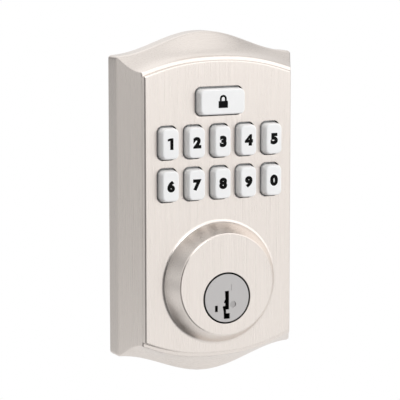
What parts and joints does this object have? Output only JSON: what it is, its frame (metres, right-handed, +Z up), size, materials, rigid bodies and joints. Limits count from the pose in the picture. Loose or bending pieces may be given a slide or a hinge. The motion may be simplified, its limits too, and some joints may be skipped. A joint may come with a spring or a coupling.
{
  "type": "keypad deadbolt",
  "caption": "Outside half of an electronic deadbolt: a satin nickel cover with white push keys over a key cylinder, and a blade that drives the bolt through the door.",
  "frame": {"origin": "where the cylinder's axis meets the face of the door", "axes": "+X to the right as seen from outside, +Y into the door, +Z up"},
  "size_m": [0.0702, 0.0807, 0.1254],
  "materials": {
    "satin_nickel": "satin nickel plate with a fine vertical brushing",
    "key_white": "satin white",
    "plug_nickel": "fine satin",
    "seal_rubber": "matt black",
    "gasket_rubber": "closed-cell foam, matt",
    "grommet_rubber": "matt black",
    "frame_plastic": "moulded, matt",
    "mat_silicone": "translucent silicone",
    "board": "green solder mask",
    "gold_pads": "gold plate",
    "led_resin": "clear resin over phosphor",
    "chip_resin": "moulded epoxy",
    "chip_ceramic": "glazed",
    "socket_plastic": "natural nylon",
    "back_plastic": "moulded, fine grain",
    "ring_plastic": "glass-filled nylon",
    "screw_steel": "bright zinc plate",
    "body_zinc": "as cast",
    "clip_steel": "spring steel",
    "spring_steel": "drawn wire",
    "pin_brass": "turned",
    "cap_zinc": "as cast",
    "blade_steel": "zinc plate"
  },
  "bodies": {
    "housing": {"escutcheon": "satin_nickel", "door_gasket": "gasket_rubber", "keypad_frame": "frame_plastic", "dome_mat": "mat_silicone", "circuit_board": "board", "contact_pads": "gold_pads", "backlight_leds": "led_resin", "controller_chip": "chip_resin", "board_parts": "chip_ceramic", "cable_socket": "socket_plastic", "rear_cover": "back_plastic", "cable_grommet": "grommet_rubber", "board_screws": "screw_steel", "cylinder_body": "body_zinc", "cylinder_screws": "screw_steel", "bore_ring": "ring_plastic", "plug_seal": "seal_rubber"},
    "lock_key": {"key_lock": "key_white"},
    "digit_1_key": {"key_1": "key_white"},
    "digit_2_key": {"key_2": "key_white"},
    "digit_3_key": {"key_3": "key_white"},
    "digit_4_key": {"key_4": "key_white"},
    "digit_5_key": {"key_5": "key_white"},
    "digit_6_key": {"key_6": "key_white"},
    "digit_7_key": {"key_7": "key_white"},
    "digit_8_key": {"key_8": "key_white"},
    "digit_9_key": {"key_9": "key_white"},
    "digit_0_key": {"key_0": "key_white"},
    "key_plug": {"plug": "plug_nickel", "plug_clip": "clip_steel", "spring_cover": "pin_brass", "sidebar": "pin_brass", "sidebar_springs": "spring_steel", "pin_springs": "spring_steel", "tailpiece_cap": "cap_zinc"},
    "blade": {"tailpiece": "blade_steel"},
    "tumbler_1": {"pin_1": "pin_brass"},
    "tumbler_2": {"pin_2": "pin_brass"},
    "tumbler_3": {"pin_3": "pin_brass"},
    "tumbler_4": {"pin_4": "pin_brass"},
    "tumbler_5": {"pin_5": "pin_brass"}
  },
  "joints": [
    {"name": "lock_key_press", "type": "slide", "parent": "housing", "child": "lock_key", "axis": [0, 1, 0], "range_m": [0, 0.0012], "stiffness_N_per_m": 900, "springref_m": -0.0006, "deforming": ["dome_mat"]},
    {"name": "digit_1_key_press", "type": "slide", "parent": "housing", "child": "digit_1_key", "axis": [0, 1, 0], "range_m": [0, 0.0012], "stiffness_N_per_m": 900, "springref_m": -0.0006, "deforming": ["dome_mat"]},
    {"name": "digit_2_key_press", "type": "slide", "parent": "housing", "child": "digit_2_key", "axis": [0, 1, 0], "range_m": [0, 0.0012], "stiffness_N_per_m": 900, "springref_m": -0.0006, "deforming": ["dome_mat"]},
    {"name": "digit_3_key_press", "type": "slide", "parent": "housing", "child": "digit_3_key", "axis": [0, 1, 0], "range_m": [0, 0.0012], "stiffness_N_per_m": 900, "springref_m": -0.0006, "deforming": ["dome_mat"]},
    {"name": "digit_4_key_press", "type": "slide", "parent": "housing", "child": "digit_4_key", "axis": [0, 1, 0], "range_m": [0, 0.0012], "stiffness_N_per_m": 900, "springref_m": -0.0006, "deforming": ["dome_mat"]},
    {"name": "digit_5_key_press", "type": "slide", "parent": "housing", "child": "digit_5_key", "axis": [0, 1, 0], "range_m": [0, 0.0012], "stiffness_N_per_m": 900, "springref_m": -0.0006, "deforming": ["dome_mat"]},
    {"name": "digit_6_key_press", "type": "slide", "parent": "housing", "child": "digit_6_key", "axis": [0, 1, 0], "range_m": [0, 0.0012], "stiffness_N_per_m": 900, "springref_m": -0.0006, "deforming": ["dome_mat"]},
    {"name": "digit_7_key_press", "type": "slide", "parent": "housing", "child": "digit_7_key", "axis": [0, 1, 0], "range_m": [0, 0.0012], "stiffness_N_per_m": 900, "springref_m": -0.0006, "deforming": ["dome_mat"]},
    {"name": "digit_8_key_press", "type": "slide", "parent": "housing", "child": "digit_8_key", "axis": [0, 1, 0], "range_m": [0, 0.0012], "stiffness_N_per_m": 900, "springref_m": -0.0006, "deforming": ["dome_mat"]},
    {"name": "digit_9_key_press", "type": "slide", "parent": "housing", "child": "digit_9_key", "axis": [0, 1, 0], "range_m": [0, 0.0012], "stiffness_N_per_m": 900, "springref_m": -0.0006, "deforming": ["dome_mat"]},
    {"name": "digit_0_key_press", "type": "slide", "parent": "housing", "child": "digit_0_key", "axis": [0, 1, 0], "range_m": [0, 0.0012], "stiffness_N_per_m": 900, "springref_m": -0.0006, "deforming": ["dome_mat"]},
    {"name": "plug_turn", "type": "hinge", "parent": "housing", "child": "key_plug", "pos_m": [0, 0, 0], "axis": [0, 1, 0], "range_deg": [-90, 90]},
    {"name": "blade_turn", "type": "hinge", "parent": "key_plug", "child": "blade", "pos_m": [0, 0, 0], "axis": [0, 1, 0], "range_deg": [-45, 45]},
    {"name": "tumbler_1_lift", "type": "slide", "parent": "key_plug", "child": "tumbler_1", "axis": [0, 0, 1], "range_m": [0, 0.002], "stiffness_N_per_m": 120, "springref_m": -0.001, "deforming": ["pin_springs"]},
    {"name": "tumbler_2_lift", "type": "slide", "parent": "key_plug", "child": "tumbler_2", "axis": [0, 0, 1], "range_m": [0, 0.002], "stiffness_N_per_m": 120, "springref_m": -0.001, "deforming": ["pin_springs"]},
    {"name": "tumbler_3_lift", "type": "slide", "parent": "key_plug", "child": "tumbler_3", "axis": [0, 0, 1], "range_m": [0, 0.002], "stiffness_N_per_m": 120, "springref_m": -0.001, "deforming": ["pin_springs"]},
    {"name": "tumbler_4_lift", "type": "slide", "parent": "key_plug", "child": "tumbler_4", "axis": [0, 0, 1], "range_m": [0, 0.002], "stiffness_N_per_m": 120, "springref_m": -0.001, "deforming": ["pin_springs"]},
    {"name": "tumbler_5_lift", "type": "slide", "parent": "key_plug", "child": "tumbler_5", "axis": [0, 0, 1], "range_m": [0, 0.002], "stiffness_N_per_m": 120, "springref_m": -0.001, "deforming": ["pin_springs"]}
  ]
}
